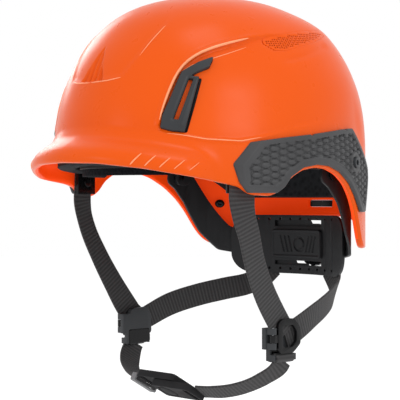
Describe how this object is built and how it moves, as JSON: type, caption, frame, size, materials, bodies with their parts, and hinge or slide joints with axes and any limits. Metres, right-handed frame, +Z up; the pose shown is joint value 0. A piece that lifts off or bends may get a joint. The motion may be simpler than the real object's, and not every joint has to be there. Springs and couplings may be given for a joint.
{
  "type": "climbing helmet",
  "caption": "Arborist climbing helmet: vented shell over a foam liner, ratchet headband with nape cradle, and Y-shaped chin strap with cam dividers and a magnetic buckle.",
  "frame": {"origin": "centre of the head's seat inside the headband, level with the lower edge of the side panels", "axes": "+Z up towards the crown, -Y towards the brim (the front), +X towards the wearer's left"},
  "size_m": [0.215, 0.27, 0.2937],
  "materials": {
    "shell_orange": "satin-gloss moulded ABS, orange",
    "foam_black": "expanded foam liner, near black",
    "trim_grey": "soft textured plastic, dark grey",
    "frame_grey": "moulded nylon, dark grey",
    "cradle_grey": "moulded nylon, slate grey",
    "pad_black": "knitted comfort padding, black",
    "webbing_grey": "woven polyester webbing, grey",
    "buckle_black": "moulded acetal, black",
    "keeper_grey": "moulded nylon, light grey",
    "spring_steel": "stainless steel"
  },
  "bodies": {
    "helmet": {"outer_shell": "shell_orange", "impact_liner": "foam_black", "side_panel_left": "trim_grey", "side_panel_right": "trim_grey", "accessory_socket_left": "frame_grey", "accessory_socket_right": "frame_grey", "vent_frame_left": "frame_grey", "vent_frame_right": "frame_grey", "headband": "cradle_grey", "brow_pad": "pad_black", "crown_pad": "pad_black", "side_pad_left": "pad_black", "side_pad_right": "pad_black", "temple_bracket_left": "cradle_grey", "temple_bracket_right": "cradle_grey", "arm_pivot_pins": "buckle_black", "front_strap_left": "webbing_grey", "front_strap_right": "webbing_grey", "rear_strap_left": "webbing_grey", "rear_strap_right": "webbing_grey", "chin_strap_right": "webbing_grey", "strap_anchor_left": "buckle_black", "strap_anchor_right": "buckle_black", "anchor_rivets": "buckle_black", "divider_left": "frame_grey", "divider_right": "frame_grey", "cam_pin_left": "spring_steel", "cam_pin_right": "spring_steel", "buckle_catch": "buckle_black", "catch_magnet": "spring_steel", "strap_keeper": "keeper_grey"},
    "nape_cradle": {"headband_arm_left": "cradle_grey", "headband_arm_right": "cradle_grey", "nape_plate": "cradle_grey", "nape_insert": "cradle_grey", "ratchet_housing": "cradle_grey", "ratchet_cover": "cradle_grey", "cover_screws": "spring_steel", "detent_spring": "spring_steel"},
    "knob": {"ratchet_knob": "buckle_black", "knob_screw": "spring_steel", "pinion": "frame_grey"},
    "rack_left": {"size_rack_left": "cradle_grey"},
    "rack_right": {"size_rack_right": "cradle_grey"},
    "cam_left": {"cam_lever_left": "buckle_black"},
    "cam_right": {"cam_lever_right": "buckle_black"},
    "chin_half_left": {"chin_strap_left": "webbing_grey", "buckle_tongue": "buckle_black", "tongue_magnet": "spring_steel"}
  },
  "joints": [
    {"name": "nape_height", "type": "hinge", "parent": "helmet", "child": "nape_cradle", "pos_m": [0, 0.042, 0.019], "axis": [1, 0, 0], "range_deg": [0, 4]},
    {"name": "knob_turn", "type": "hinge", "parent": "nape_cradle", "child": "knob", "pos_m": [0, 0.116, -0.036], "axis": [0, -1, 0], "range_deg": [0, 160]},
    {"name": "rack_left_slide", "type": "slide", "parent": "nape_cradle", "child": "rack_left", "axis": [-1, 0, 0], "range_m": [0, 0.0141]},
    {"name": "rack_right_slide", "type": "slide", "parent": "nape_cradle", "child": "rack_right", "axis": [1, 0, 0], "range_m": [0, 0.0141]},
    {"name": "cam_left_open", "type": "hinge", "parent": "helmet", "child": "cam_left", "pos_m": [0.0826, -0.019, -0.095], "axis": [0, 0, -1], "range_deg": [0, 75]},
    {"name": "cam_right_open", "type": "hinge", "parent": "helmet", "child": "cam_right", "pos_m": [-0.0826, -0.019, -0.095], "axis": [0, 0, 1], "range_deg": [0, 75]},
    {"name": "chin_strap_open", "type": "hinge", "parent": "helmet", "child": "chin_half_left", "pos_m": [0.0806, -0.007, -0.1104], "axis": [0, -1, 0], "range_deg": [0, 50]}
  ],
  "couplings": [
    {"joint": "rack_left_slide", "follows": "knob_turn", "m_per_rad": 0.005},
    {"joint": "rack_right_slide", "follows": "knob_turn", "m_per_rad": 0.005}
  ]
}
